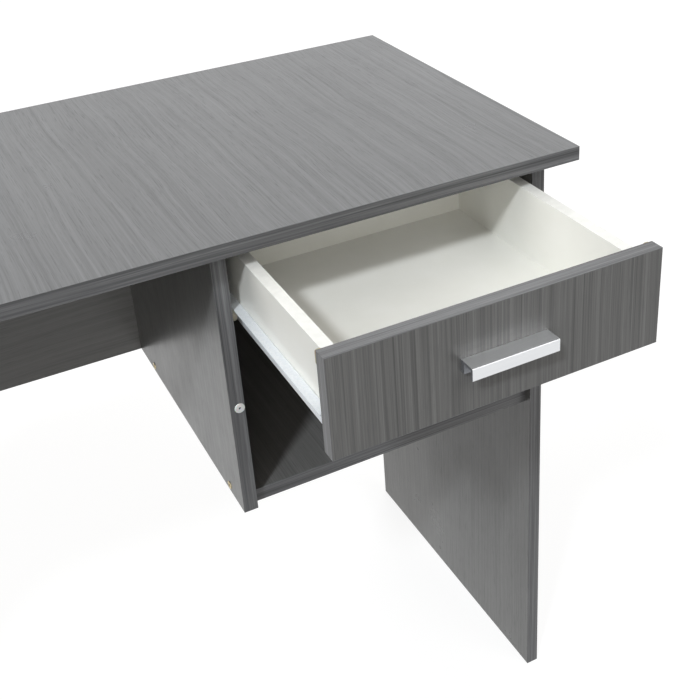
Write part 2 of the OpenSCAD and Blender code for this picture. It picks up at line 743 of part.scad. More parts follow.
module drawer_front() color(board_grey) drawer_place() difference() {
  box(
    [bay_x0 + front_gap + band_t, 0, front_z + band_t],
    [bay_x1 - front_gap - band_t, front_t, front_z + front_h - band_t]
  );
  bottom_groove();
  at([left_side_cam, right_side_cam]) face_hole(bolt_d);
  at(concat(left_side_dowels, right_side_dowels)) face_hole(side_dowel_d);
  pull_screw_places() translate([0, -front_t - over, 0]) rotate([-90, 0, 0]) {
    cylinder(d = pull_screw_d + 2 * play, h = front_t + 2 * over);
  }
}

module drawer_front_edge_bands() color(band_grey) drawer_place() {
  x0 = bay_x0 + front_gap;
  x1 = bay_x1 - front_gap;
  z1 = front_z + front_h;
  for (z = [front_z, z1 - band_t]) box([x0, 0, z], [x1, front_t, z + band_t]);
  for (x = [x0, x1 - band_t]) box([x, 0, front_z + band_t], [x + band_t, front_t, z1 - band_t]);
}

// Blank of a drawer side, without its upper edge band
module side_blank(x0) {
  box([x0, front_t, side_z], [x0 + side_t, box_end, side_z + side_h - band_t]);
}

// Pilot holes of the screws that come up through the rail's foot and the bottom
module foot_pilots() foot_screw_places() pilot_hole(screw_l + play);

// Places of the screws that hold the bottom under the drawer back, with X turned upwards
module bottom_screw_places() {
  for (x = [pull_x - bottom_screw_pitch, pull_x, pull_x + bottom_screw_pitch]) {
    translate([x, box_end - back_t / 2, bottom_z]) rotate([0, -90, 0]) children();
  }
}

// Countersunk hole through a side, and the screw's way into the back
module back_screw_hole() {
  translate([-over, 0, 0]) rod(screw_d + 2 * play, back_screw_l + play + over);
  rod(pan_head_d + 2 * play, 2);
}

module back_screw_places() {
  for (z = back_screw_z) translate([0, box_end - back_t / 2, z]) children();
}

module left_back_screws() translate([box_x0, 0, 0]) back_screw_places() children();
module right_back_screws() translate([box_x1, 0, 0]) mirror([1, 0, 0]) back_screw_places() children();

module drawer_left_side() color(melamine_white) drawer_place() difference() {
  side_blank(box_x0);
  at([left_side_cam]) cam_hole(side_t, side_cam_reach, side_cam_h, bolt_d);
  at(left_side_dowels) end_hole(side_dowel_d, dowel_l);
  left_slide() foot_pilots();
  left_back_screws() back_screw_hole();
}

module drawer_right_side() color(melamine_white) drawer_place() difference() {
  side_blank(box_x1 - side_t);
  at([right_side_cam]) cam_hole(side_t, side_cam_reach, side_cam_h, bolt_d);
  at(right_side_dowels) end_hole(side_dowel_d, dowel_l);
  right_slide() foot_pilots();
  right_back_screws() back_screw_hole();
}

module drawer_back() color(melamine_white) drawer_place() difference() {
  box([box_in0, box_end - back_t, side_z], [box_in1, box_end, side_z + side_h - band_t]);
  left_back_screws() back_screw_hole();
  right_back_screws() back_screw_hole();
  bottom_screw_places() pilot_hole(screw_l);
}

// Thin board under the sides and the back, with its front edge in the drawer front
module drawer_bottom() color(melamine_white) drawer_place() difference() {
  box([box_x0, front_t - groove_in + groove_play, bottom_z], [box_x1, box_end, bottom_z + bottom_t]);
  left_slide() foot_pilots();
  right_slide() foot_pilots();
  bottom_screw_places() translate([-over, 0, 0]) pilot_hole(screw_l);
}

module drawer_box_edge_bands() color(melamine_white) drawer_place() {
  z0 = side_z + side_h - band_t;
  z1 = side_z + side_h;
  for (x = [box_x0, box_x1 - side_t]) box([x, front_t, z0], [x + side_t, box_end, z1]);
  box([box_in0, box_end - back_t, z0], [box_in1, box_end, z1]);
}

module drawer_cam_locks() color(zinc) drawer_place() {
  at([left_side_cam, right_side_cam]) cam_lock(side_t, side_cam_reach, side_cam_h, bolt_d);
}

module drawer_cam_bolts() color(zinc) drawer_place() {
  at([left_side_cam, right_side_cam]) cam_bolt(side_cam_reach, bolt_d);
}

module drawer_dowels() color(beech) drawer_place() {
  at(concat(left_side_dowels, right_side_dowels)) dowel(side_dowel_d, dowel_l);
}

// Chipboard screw with a flat head sunk flush with the side
module back_screw() {
  rod(pan_head_d, 1);
  translate([1, 0, 0]) rotate([0, 90, 0]) cylinder(d1 = pan_head_d, d2 = screw_d, h = 1);
  rod(screw_d, back_screw_l - 1);
}

module drawer_back_screws() color(zinc) drawer_place() {
  left_back_screws() back_screw();
  right_back_screws() back_screw();
  bottom_screw_places() pan_screw(screw_l);
}

/* Handle */

// Section of the handle in y and z: front plate, top plate and mounting strip
module pull_profile() {
  r = 0.8;
  z0 = pull_z - pull_h / 2;
  z1 = pull_z + pull_h / 2;
  polygon(concat(
    [[0, z0], [0, z1]],
    arc([-pull_out + r, z1 - r], r, 90, 180),
    arc([-pull_out + r, z0 + r], r, 180, 270),
    arc([-pull_out + pull_front_t - r, z0 + r], r, 270, 360),
    [[-pull_out + pull_front_t, z1 - pull_top_t], [-pull_back_t, z1 - pull_top_t], [-pull_back_t, z0]]
  ));
}

// Places of the handle's screws on the back of the drawer front
module pull_screw_places() {
  for (x = [pull_x - pull_pitch / 2, pull_x + pull_pitch / 2]) translate([x, front_t, pull_z]) children();
}

module drawer_handle() color(aluminium) drawer_place() difference() {
  translate([pull_x - pull_l / 2, 0, 0]) rotate([90, 0, 90]) linear_extrude(pull_l) pull_profile();
  pull_screw_places() translate([0, -front_t + over, 0]) rotate([90, 0, 0]) {
    cylinder(d = pull_screw_d + 2 * play, h = pull_back_t - 1 + over);
  }
}

module handle_screws() color(zinc) drawer_place() pull_screw_places() rotate([90, 0, 0]) {
  cylinder(d = pull_screw_d, h = front_t + pull_back_t - 1.5);
  difference() {
    rotate_extrude() polygon(concat(
      [[0, 0], [pull_screw_d, 0]],
      arc([pull_screw_d - 1.5, -1], 1.5, 0, -90, 4),
      [[0, -2.5]]
    ));
    for (turn = [0, 90]) rotate([0, 0, turn]) {
      translate([-pull_screw_d / 2, -0.4, -2.5 - over]) cube([pull_screw_d, 0.8, over + 1.5]);
    }
  }
}

/* Buffers on the back of the drawer front, beside the drawer sides */

buffer_w = 6.5;
buffer_h = 14;
buffer_t = 4.5;
buffer_top = 1.5;

module front_buffer() {
  z1 = front_z + front_h - buffer_top;
  u0 = front_gap + band_t;
  box([u0, front_t, z1 - buffer_h + buffer_w / 2], [u0 + buffer_w, front_t + buffer_t, z1 - buffer_w / 2]);
  for (z = [z1 - buffer_h + buffer_w / 2, z1 - buffer_w / 2]) {
    translate([u0 + buffer_w / 2, front_t, z]) rotate([-90, 0, 0]) cylinder(d = buffer_w, h = buffer_t);
  }
}

module drawer_front_buffers() color("#b5ab7a") drawer_place() {
  left_slide() front_buffer();
  right_slide() front_buffer();
}

desktop();
desktop_edge_bands();
left_leg();
right_leg();
leg_edge_bands();
drawer_divider();
compartment_floor();
modesty_panel();
panel_edge_bands();
left_cabinet_rail();
right_cabinet_rail();
cabinet_roller_rivets();
cabinet_rail_screws();
cam_locks();
cam_bolts();
wood_dowels();
confirmat_screws();
divider_plug();
drawer_front();
drawer_front_edge_bands();
drawer_left_side();
drawer_right_side();
drawer_back();
drawer_bottom();
drawer_box_edge_bands();
drawer_handle();
handle_screws();
left_drawer_rail();
right_drawer_rail();
drawer_roller_rivets();
drawer_rail_screws();
drawer_cam_locks();
drawer_cam_bolts();
drawer_dowels();
drawer_back_screws();
drawer_front_buffers();
left_cabinet_roller();
right_cabinet_roller();
left_drawer_roller();
right_drawer_roller();
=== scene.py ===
import math

import bmesh
import bpy
from mathutils import Matrix, Vector


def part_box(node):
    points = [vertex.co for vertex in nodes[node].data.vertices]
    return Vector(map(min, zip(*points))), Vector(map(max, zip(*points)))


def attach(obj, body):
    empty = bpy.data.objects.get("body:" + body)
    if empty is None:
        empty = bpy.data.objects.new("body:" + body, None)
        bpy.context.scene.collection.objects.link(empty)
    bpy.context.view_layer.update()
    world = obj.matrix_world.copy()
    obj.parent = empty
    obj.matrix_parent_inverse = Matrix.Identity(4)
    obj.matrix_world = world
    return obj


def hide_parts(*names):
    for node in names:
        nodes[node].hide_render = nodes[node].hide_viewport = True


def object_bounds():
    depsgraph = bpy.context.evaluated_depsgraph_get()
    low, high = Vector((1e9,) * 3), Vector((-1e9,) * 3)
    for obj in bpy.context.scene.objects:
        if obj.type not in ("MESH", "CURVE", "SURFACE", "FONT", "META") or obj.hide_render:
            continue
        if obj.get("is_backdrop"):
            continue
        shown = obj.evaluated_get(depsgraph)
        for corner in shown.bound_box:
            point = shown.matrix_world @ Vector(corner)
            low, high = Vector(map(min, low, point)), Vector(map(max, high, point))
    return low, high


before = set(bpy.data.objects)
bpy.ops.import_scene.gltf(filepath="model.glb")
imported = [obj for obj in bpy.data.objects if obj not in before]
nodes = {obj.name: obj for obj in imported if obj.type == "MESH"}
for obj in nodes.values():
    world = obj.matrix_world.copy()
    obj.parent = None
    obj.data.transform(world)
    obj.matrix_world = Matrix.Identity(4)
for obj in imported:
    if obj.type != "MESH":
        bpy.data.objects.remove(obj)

cad_low, cad_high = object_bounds()


# Camera. It stands before the kneehole, well above the desktop, and is turned to
# the right, to look down into the pulled-out drawer.

def turned_view(azimuth, elevation, roll):
    a, e, r = (math.radians(v) for v in (azimuth, elevation, roll))
    back = Vector((math.sin(a) * math.cos(e), -math.cos(a) * math.cos(e), math.sin(e)))
    level = Vector((math.cos(a), math.sin(a), 0))
    upright = back.cross(level)
    right = level * math.cos(r) + upright * math.sin(r)
    up = upright * math.cos(r) - level * math.sin(r)
    return Matrix((right, up, back)).transposed()


camera_place = (-0.0813, -0.9634, 1.1720)
camera_turn = turned_view(azimuth=-26.1, elevation=27.6, roll=-3.38)
camera = bpy.data.objects.new("desk_camera", bpy.data.cameras.new("desk_camera"))
bpy.context.collection.objects.link(camera)
camera.data.sensor_width = 36
camera.data.lens = 57.98
camera.data.shift_x = -0.0476
camera.data.shift_y = -0.1569
camera.matrix_world = Matrix.Translation(camera_place) @ camera_turn.to_4x4()
bpy.context.scene.camera = camera


# Desktop. A 15 mm chipboard panel pressed with a grey woodgrain melamine paper on
# both faces. The print runs from front to back, and the sawn edges show the chips.

FLOAT, COLOUR, VECTOR = "NodeSocketFloat", "NodeSocketColor", "NodeSocketVector"


def feed(tree, socket, value):
    if isinstance(value, bpy.types.NodeSocket):
        tree.links.new(value, socket)
    else:
        socket.default_value = value


def add(tree, kind, inputs=None, **settings):
    node = tree.nodes.new(kind)
    for key, value in settings.items():
        setattr(node, key, value)
    for key, value in (inputs or {}).items():
        feed(tree, node.inputs[key], value)
    return node


def blend(tree, amount, first, second):
    node = add(tree, "ShaderNodeMix", {0: amount, 6: first, 7: second}, data_type="RGBA")
    return node.outputs[2]


def spread(tree, value, low, high, to_low=0.0, to_high=1.0):
    node = add(tree, "ShaderNodeMapRange", {
        "Value": value, "From Min": low, "From Max": high, "To Min": to_low, "To Max": to_high,
    })
    return node.outputs["Result"]


def sums(tree, how, first, second):
    return add(tree, "ShaderNodeMath", {0: first, 1: second}, operation=how).outputs[0]


def scaled(tree, place, scale):
    return add(tree, "ShaderNodeMapping", {"Vector": place, "Scale": scale}).outputs[0]


def noise(tree, place, scale, detail, roughness=0.5):
    return add(tree, "ShaderNodeTexNoise", {
        "Vector": place, "Scale": scale, "Detail": detail, "Roughness": roughness,
    })


def shader_group(name, takes, gives):
    group = bpy.data.node_groups.new(name, "ShaderNodeTree")
    for label, kind, value in takes:
        socket = group.interface.new_socket(label, in_out="INPUT", socket_type=kind)
        if value is not None:
            socket.default_value = value
    for label, kind in gives:
        group.interface.new_socket(label, in_out="OUTPUT", socket_type=kind)
    return group, group.nodes.new("NodeGroupInput"), group.nodes.new("NodeGroupOutput")


# Marks of the print in each metre, along the grain and twice across it
drift_count = (4.5, 7, 7)
streak_count = (4, 700, 700)
band_count = (2, 230, 230)
pore_count = (42, 1500, 1500)

# Printed grain: fine streaks, broader bands and short pores, all along the group's X.
# Sway bends the lines sideways, in the face alone, so that they stay unbroken.
grain_group, start, end = shader_group(
    "printed_grain",
    [("Vector", VECTOR, None), ("Sway", VECTOR, None), ("Bands", FLOAT, 0.45)],
    [("Tone", FLOAT), ("Pores", FLOAT)],
)
slow = scaled(grain_group, start.outputs["Vector"], drift_count)
drift = noise(grain_group, slow, 1, detail=1, roughness=0.45)
centred = add(grain_group, "ShaderNodeVectorMath", {
    0: drift.outputs["Color"], 1: (0.5, 0.5, 0.5),
}, operation="SUBTRACT")
shifted = add(grain_group, "ShaderNodeVectorMath", {
    0: centred.outputs[0], 1: start.outputs["Sway"],
}, operation="MULTIPLY")
bent = add(grain_group, "ShaderNodeVectorMath", {
    0: start.outputs["Vector"], 1: shifted.outputs[0],
}).outputs[0]
streaks = noise(grain_group, scaled(grain_group, bent, streak_count), 1, detail=3, roughness=0.6)
bands = noise(grain_group, scaled(grain_group, bent, band_count), 1, detail=2)
pores = noise(grain_group, scaled(grain_group, bent, pore_count), 1, detail=1)
fine = spread(grain_group, streaks.outputs[0], 0.3, 0.7)
wide = spread(grain_group, bands.outputs[0], 0.3, 0.7)
tone = add(grain_group, "ShaderNodeMix", {0: start.outputs["Bands"], 2: fine, 3: wide})
grain_group.links.new(tone.outputs[0], end.inputs["Tone"])
grain_group.links.new(spread(grain_group, pores.outputs[0], 0.6, 0.72), end.inputs["Pores"])

# Sawn chipboard: pressed flakes of a few millimetres with darker gaps between them
flakes_per_metre = 420.0
flake_dark = (0.36, 0.22, 0.11, 1)
flake_pale = (0.66, 0.48, 0.29, 1)
gap_brown = (0.16, 0.09, 0.05, 1)
chip_group, start, end = shader_group(
    "chipboard",
    [("Vector", VECTOR, None), ("Flake", FLOAT, flakes_per_metre)],
    [("Color", COLOUR)],
)
flat_map = scaled(chip_group, start.outputs["Vector"], (0.6, 0.6, 1))
flakes = add(chip_group, "ShaderNodeTexVoronoi", {
    "Vector": flat_map, "Scale": start.outputs["Flake"],
})
gaps = add(chip_group, "ShaderNodeTexVoronoi", {
    "Vector": flat_map, "Scale": start.outputs["Flake"],
}, feature="DISTANCE_TO_EDGE")
flake_tone = add(chip_group, "ShaderNodeSeparateColor", {"Color": flakes.outputs["Color"]})
flake_colour = blend(chip_group, flake_tone.outputs[0], flake_dark, flake_pale)
gap_mask = spread(chip_group, gaps.outputs["Distance"], 0.0, 0.12)
chip_group.links.new(blend(chip_group, gap_mask, gap_brown, flake_colour), end.inputs["Color"])

# Handling marks: patches where the sheen is a little lower or higher
marks_group, start, end = shader_group(
    "handling_marks",
    [("Vector", VECTOR, None), ("Roughness", FLOAT, 0.4), ("Amount", FLOAT, 0.08)],
    [("Roughness", FLOAT)],
)
patches = noise(marks_group, start.outputs["Vector"], 9, detail=5, roughness=0.62)
patch_tone = spread(marks_group, patches.outputs[0], 0.3, 0.7, -1, 1)
lift = sums(marks_group, "MULTIPLY", patch_tone, start.outputs["Amount"])
marked = sums(marks_group, "ADD", start.outputs["Roughness"], lift)
marks_group.links.new(marked, end.inputs["Roughness"])


def new_finish(name, **constants):
    finish = bpy.data.materials.new(name)
    finish.use_nodes = True
    tree = finish.node_tree
    shader = tree.nodes["Principled BSDF"]
    for key, value in constants.items():
        shader.inputs[key.replace("_", " ")].default_value = value
    where = add(tree, "ShaderNodeTexCoord")
    return finish, tree, shader, where


def printed(tree, where, place, grain, sway, bands):
    turned = add(tree, "ShaderNodeMapping", {
        "Vector": where.outputs["Object"], "Location": place, "Rotation": GRAIN_TURN[grain],
    })
    return add(tree, "ShaderNodeGroup", {
        "Vector": turned.outputs[0], "Sway": sway, "Bands": bands,
    }, node_tree=grain_group)


def handled(tree, where, roughness, amount):
    return add(tree, "ShaderNodeGroup", {
        "Vector": where.outputs["Object"], "Roughness": roughness, "Amount": amount,
    }, node_tree=marks_group).outputs[0]


def sawn(tree, where, flake=flakes_per_metre):
    return add(tree, "ShaderNodeGroup", {
        "Vector": where.outputs["Object"], "Flake": flake,
    }, node_tree=chip_group).outputs["Color"]


def bumped(tree, shader, height, strength, distance):
    bump = add(tree, "ShaderNodeBump", {
        "Height": height, "Strength": strength, "Distance": distance,
    })
    tree.links.new(bump.outputs[0], shader.inputs["Normal"])


GRAIN_TURN = {"x": (0, 0, 0), "y": (0, 0, math.pi / 2), "z": (0, math.pi / 2, 0)}
FACE_AXIS = {"x": 0, "y": 1, "z": 2}
SWAY_ACROSS = {"x": (0, 1, 0), "y": (0, 0, 1), "z": (0, 1, 0)}
# The desktop's ink is a bluer copy of the grey paper: its cool tint is painted light, copying the cool light
# that falls on the top
painted_cool_light_ink = (0.152, 0.154, 0.159)
plain_ink = (0.168, 0.167, 0.164)
deep_ink = (0.126, 0.125, 0.123)
pore_dark = (0.07, 0.071, 0.075, 1)
# A surface is a papered face where its normal's share along the face's axis is above this
face_share = 0.6
# Sawn edges are duller than the paper by this much roughness
sawn_dullness = 0.4


def grey_board(name, face, grain, place, ink, wander=0.012, band_share=0.45, contrast=0.27):
    finish, tree, shader, where = new_finish(name, Specular_IOR_Level=0.5, IOR=1.5)
    sway = [wander * part for part in SWAY_ACROSS[face]]
    grain_print = printed(tree, where, place, grain, sway, band_share)
    lines, pits = grain_print.outputs["Tone"], grain_print.outputs["Pores"]
    dark, light = (tuple(c * (1 + way * contrast) for c in ink) + (1,) for way in (-1, 1))
    paper = blend(tree, lines, dark, light)
    paper = blend(tree, sums(tree, "MULTIPLY", pits, 0.4), paper, pore_dark)
    side = add(tree, "ShaderNodeSeparateXYZ", {0: where.outputs["Normal"]})
    steep = sums(tree, "ABSOLUTE", side.outputs[FACE_AXIS[face]], 0)
    papered = sums(tree, "GREATER_THAN", steep, face_share)
    feed(tree, shader.inputs["Base Color"], blend(tree, papered, sawn(tree, where), paper))
    sheen = handled(tree, where, roughness=0.32, amount=0.05)
    rough = sums(tree, "ADD", sheen, sums(tree, "MULTIPLY", pits, 0.15))
    bare = sums(tree, "MULTIPLY", sums(tree, "SUBTRACT", 1.0, papered), sawn_dullness)
    feed(tree, shader.inputs["Roughness"], sums(tree, "ADD", rough, bare))
    bumped(tree, shader, sums(tree, "SUBTRACT", lines, pits), strength=0.12, distance=0.0003)
    return finish


def dress(finish, *names):
    for name in names:
        for held in nodes[name].material_slots:
            held.material = finish


# The desktop's paper carries a painted cool tint for the light from above
desktop_print = grey_board(
    "desktop_print", "z", "y", (0.31, 0.0, 0.0), painted_cool_light_ink, wander=0.022, band_share=0.5, contrast=0.3,
)
dress(desktop_print, "desktop")


# Edge bands of the desktop. Strips of 0.5 mm plastic glued to the four sawn edges,
# printed with their own grain lengthwise, with the two long corners eased after gluing.

band_t = 0.0005
band_easing = 0.00038
band_dark = (0.012, 0.012, 0.014, 1)
band_pale = (0.235, 0.237, 0.245, 1)


def band_finish(name, grain, place):
    finish, tree, shader, where = new_finish(name, Specular_IOR_Level=0.5, IOR=1.5)
    grain_print = printed(tree, where, place, grain, sway=(0, 0.003, 0.003), bands=0.45)
    lines, pits = grain_print.outputs["Tone"], grain_print.outputs["Pores"]
    paper = blend(tree, lines, band_dark, band_pale)
    paper = blend(tree, sums(tree, "MULTIPLY", pits, 0.5), paper, pore_dark)
    feed(tree, shader.inputs["Base Color"], paper)
    feed(tree, shader.inputs["Roughness"], handled(tree, where, roughness=0.4, amount=0.06))
    bumped(tree, shader, lines, strength=0.1, distance=0.0003)
    return finish


band_prints = {
    "x": band_finish("band_print_across", "x", (0.0, 0.013, 0.021)),
    "y": band_finish("band_print_in_depth", "y", (0.2, 0.0, 0.04)),
    "z": band_finish("band_print_upright", "z", (0.1, 0.07, 0.0)),
}


def finished(shape, name, node, body, finish, smooth=False):
    bmesh.ops.recalc_face_normals(shape, faces=shape.faces)
    mesh = bpy.data.meshes.new(name)
    shape.to_mesh(mesh)
    shape.free()
    for face in mesh.polygons:
        face.use_smooth = smooth
    mesh.materials.append(finish)
    piece = bpy.data.objects.new(name, mesh)
    bpy.context.collection.objects.link(piece)
    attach(piece, body)
    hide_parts(node)
    return piece


def block(low, high):
    size = high - low
    shape = bmesh.new()
    bmesh.ops.create_cube(shape, size=1)
    bmesh.ops.scale(shape, vec=size, verts=shape.verts)
    bmesh.ops.translate(shape, vec=(low + high) / 2, verts=shape.verts)
    return shape


def eased(shape, edges, offset, segments, profile=0.5):
    bmesh.ops.bevel(
        shape, geom=edges, offset=offset, segments=segments, profile=profile,
        affect="EDGES", material=-1,
    )


def edge_strip(name, low, high, outward, node, body, finish):
    low, high = Vector(low), Vector(high)
    size = high - low
    thin = next(i for i in range(3) if outward[i])
    along = max(range(3), key=lambda i: size[i])
    strip = block(low, high)
    face_at = high[thin] if outward[thin] > 0 else low[thin]
    corners = [
        e for e in strip.edges
        if all(abs(v.co[thin] - face_at) < 1e-6 for v in e.verts)
        and abs(e.verts[0].co[along] - e.verts[1].co[along]) > 1e-4
    ]
    eased(strip, corners, offset=band_easing, segments=3)
    finished(strip, name, node, body, finish)


def desk_band(name, low, high, outward, node, grain):
    edge_strip(name, low, high, outward, node, "desk", band_prints[grain])


low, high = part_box("desktop_edge_bands")
front, back = low.y + band_t, high.y - band_t
for name, at_low, at_high, outward, grain in (
    ("desktop_front_band", low, (high.x, front, high.z), (0, -1, 0), "x"),
    ("desktop_back_band", (low.x, back, low.z), high, (0, 1, 0), "x"),
    ("desktop_left_band", (low.x, front, low.z), (low.x + band_t, back, high.z), (-1, 0, 0), "y"),
    ("desktop_right_band", (high.x - band_t, front, low.z), (high.x, back, high.z), (1, 0, 0), "y"),
):
    desk_band(name, at_low, at_high, outward, "desktop_edge_bands", grain)


# Legs. Two upright panels of the same board, with the grain upright. Bands cover
# the front and rear edges; the top and the foot are sawn and left bare.

dress(grey_board("left_leg_print", "x", "z", (0.0, 0.17, 0.4), plain_ink), "left_leg")
dress(grey_board("right_leg_print", "x", "z", (0.0, 0.53, 1.3), plain_ink), "right_leg")
for side in ("left", "right"):
    low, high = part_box(side + "_leg")
    desk_band(side + "_leg_front_band", (low.x, low.y - band_t, low.z),
              (high.x, low.y, high.z), (0, -1, 0), "leg_edge_bands", "z")
    desk_band(side + "_leg_rear_band", (low.x, high.y, low.z),
              (high.x, high.y + band_t, high.z), (0, 1, 0), "leg_edge_bands", "z")


# Divider, compartment floor and modesty panel. They hang below the desktop and make
# the drawer bay and the open compartment. Only the edges that show have a band.

divider_print = grey_board("divider_print", "x", "z", (0.0, 0.9, 2.1), plain_ink)
floor_print = grey_board("compartment_floor_print", "z", "y", (0.7, 0.0, 0.3), plain_ink)
modesty_print = grey_board("modesty_print", "y", "x", (0.0, 0.6, 1.7), plain_ink)
dress(divider_print, "drawer_divider")
dress(floor_print, "compartment_floor")
dress(modesty_print, "modesty_panel")
low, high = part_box("drawer_divider")
desk_band("divider_front_band", (low.x, low.y - band_t, low.z - band_t),
          (high.x, low.y, high.z), (0, -1, 0), "panel_edge_bands", "z")
desk_band("divider_foot_band", (low.x, low.y, low.z - band_t),
          (high.x, high.y, low.z), (0, 0, -1), "panel_edge_bands", "y")
low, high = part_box("compartment_floor")
desk_band("compartment_floor_band", (low.x, low.y - band_t, low.z),
          (high.x, low.y, high.z), (0, -1, 0), "panel_edge_bands", "x")
low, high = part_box("modesty_panel")
desk_band("modesty_foot_band", (low.x, low.y, low.z - band_t),
          (high.x, high.y, low.z), (0, 0, -1), "panel_edge_bands", "x")


# Knock-down fittings. Zinc cam locks pull on steel bolts screwed into the faces of
# the boards, beech dowels line them up, and brassy connector screws go right through.

def plain_metal(name, colour, roughness, speckle):
    finish, tree, shader, where = new_finish(name, Metallic=1.0)
    cloud = noise(tree, where.outputs["Object"], speckle, detail=4, roughness=0.6)
    tone = spread(tree, cloud.outputs[0], 0.3, 0.7)
    dull = tuple(c * 0.78 for c in colour[:3]) + (1,)
    feed(tree, shader.inputs["Base Color"], blend(tree, tone, dull, colour))
    feed(tree, shader.inputs["Roughness"], handled(tree, where, roughness, amount=0.08))
    bumped(tree, shader, tone, strength=0.08, distance=0.0002)
    return finish


zinc_plate = plain_metal("zinc_plate", (0.72, 0.74, 0.77, 1), roughness=0.32, speckle=900)
zinc_casting = plain_metal("zinc_casting", (0.5, 0.51, 0.53, 1), roughness=0.5, speckle=1400)
yellow_zinc = plain_metal("yellow_zinc", (0.83, 0.7, 0.42, 1), roughness=0.34, speckle=700)

beech_dark = (0.42, 0.25, 0.12, 1)
beech_pale = (0.66, 0.46, 0.26, 1)
beech, tree, shader, where = new_finish("beech_dowel", Roughness=0.62)
beech_grain = add(tree, "ShaderNodeGroup", {
    "Vector": where.outputs["Object"], "Sway": (0, 0.002, 0.002), "Bands": 0.2,
}, node_tree=grain_group)
beech_lines = beech_grain.outputs["Tone"]
feed(tree, shader.inputs["Base Color"], blend(tree, beech_lines, beech_dark, beech_pale))
bumped(tree, shader, beech_lines, strength=0.2, distance=0.0003)

dress(zinc_casting, "cam_locks", "drawer_cam_locks")
dress(zinc_plate, "cam_bolts", "drawer_cam_bolts")
dress(beech, "wood_dowels", "drawer_dowels")
dress(yellow_zinc, "confirmat_screws")


# Plug. A white moulded stopper with a hollow middle, pushed into the hole in the
# divider's front edge.

def moulded(name, colour, roughness, translucence):
    finish, tree, shader, where = new_finish(
        name, Specular_IOR_Level=0.5, Subsurface_Weight=translucence, Subsurface_Scale=0.002,
    )
    flow = noise(tree, where.outputs["Object"], 120, detail=3).outputs[0]
    shade = tuple(c * 0.93 for c in colour[:3]) + (1,)
    flow_colour = blend(tree, spread(tree, flow, 0.35, 0.65), shade, colour)
    feed(tree, shader.inputs["Base Color"], flow_colour)
    feed(tree, shader.inputs["Roughness"], handled(tree, where, roughness, amount=0.06))
    bumped(tree, shader, flow, strength=0.05, distance=0.0002)
    return finish


plug_white = moulded("plug_plastic", (0.97, 0.97, 0.96, 1), roughness=0.35, translucence=0.1)
dress(plug_white, "divider_plug")


# Roller slides. Steel rails bent from 1.2 mm sheet and coated white, the outer pair
# screwed to the bay's walls and the inner pair under the drawer's bottom.

coat_shade = (0.74, 0.78, 0.83, 1)
coat_white = (0.84, 0.87, 0.9, 1)
coat, tree, shader, where = new_finish("white_epoxy_coat", Specular_IOR_Level=0.5, Coat_Weight=0.15)
peel = noise(tree, where.outputs["Object"], 650, detail=2).outputs[0]
coat_colour = blend(tree, spread(tree, peel, 0.3, 0.7), coat_shade, coat_white)
feed(tree, shader.inputs["Base Color"], coat_colour)
feed(tree, shader.inputs["Roughness"], handled(tree, where, roughness=0.33, amount=0.07))
bumped(tree, shader, peel, strength=0.12, distance=0.0002)
dress(coat, "left_cabinet_rail", "right_cabinet_rail", "left_drawer_rail", "right_drawer_rail")


# Rollers. Turned nylon wheels on shouldered rivets: two at the fronts of the cabinet
# rails and two at the rear ends of the drawer rails. Pan-head screws hold the rails.

nylon = moulded("roller_nylon", (0.78, 0.73, 0.58, 1), roughness=0.42, translucence=0.15)
dress(nylon, "left_cabinet_roller", "right_cabinet_roller", "left_drawer_roller", "right_drawer_roller")
dress(zinc_plate, "cabinet_roller_rivets", "drawer_roller_rivets")
dress(zinc_plate, "cabinet_rail_screws", "drawer_rail_screws")


# Drawer box. White melamine sides and back with their sawn upper edges banded in
# white. The thin bottom, white above and bare below, lies under them on the rails.

white_paper = (0.93, 0.925, 0.88, 1)
white_shade = (0.91, 0.905, 0.855, 1)
fine_flakes_per_metre = 700.0


def white_board(name, face, bare_below=False):
    finish, tree, shader, where = new_finish(name, Specular_IOR_Level=0.5)
    cloud = noise(tree, where.outputs["Object"], 30, detail=6).outputs[0]
    paper = blend(tree, spread(tree, cloud, 0.35, 0.65), white_shade, white_paper)
    flakes = fine_flakes_per_metre if bare_below else flakes_per_metre
    side = add(tree, "ShaderNodeSeparateXYZ", {0: where.outputs["Normal"]})
    steep = side.outputs[FACE_AXIS[face]]
    if not bare_below:
        steep = sums(tree, "ABSOLUTE", steep, 0)
    papered = sums(tree, "GREATER_THAN", steep, face_share)
    feed(tree, shader.inputs["Base Color"], blend(tree, papered, sawn(tree, where, flakes), paper))
    sheen = handled(tree, where, roughness=0.4, amount=0.06)
    bare = sums(tree, "MULTIPLY", sums(tree, "SUBTRACT", 1.0, papered), sawn_dullness)
    feed(tree, shader.inputs["Roughness"], sums(tree, "ADD", sheen, bare))
    pressed = noise(tree, where.outputs["Object"], 900, detail=2).outputs[0]
    bumped(tree, shader, pressed, strength=0.06, distance=0.0002)
    return finish


dress(white_board("drawer_side_paper", "x"), "drawer_left_side", "drawer_right_side")
dress(white_board("drawer_back_paper", "y"), "drawer_back")
dress(white_board("drawer_bottom_paper", "z", bare_below=True), "drawer_bottom")

white_band = moulded("white_band", (0.86, 0.86, 0.83, 1), roughness=0.36, translucence=0.0)
for part in ("left_side", "right_side", "back"):
    low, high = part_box("drawer_" + part)
    edge_strip("drawer_" + part + "_band", (low.x, low.y, high.z), (high.x, high.y, high.z + band_t),
               (0, 0, 1), "drawer_box_edge_bands", "drawer", white_band)
dress(zinc_plate, "drawer_back_screws")


# Drawer front. The grey board again, with upright grain and bands on all four edges.
# It hides the ends of the sides and the slides, and carries the handle.

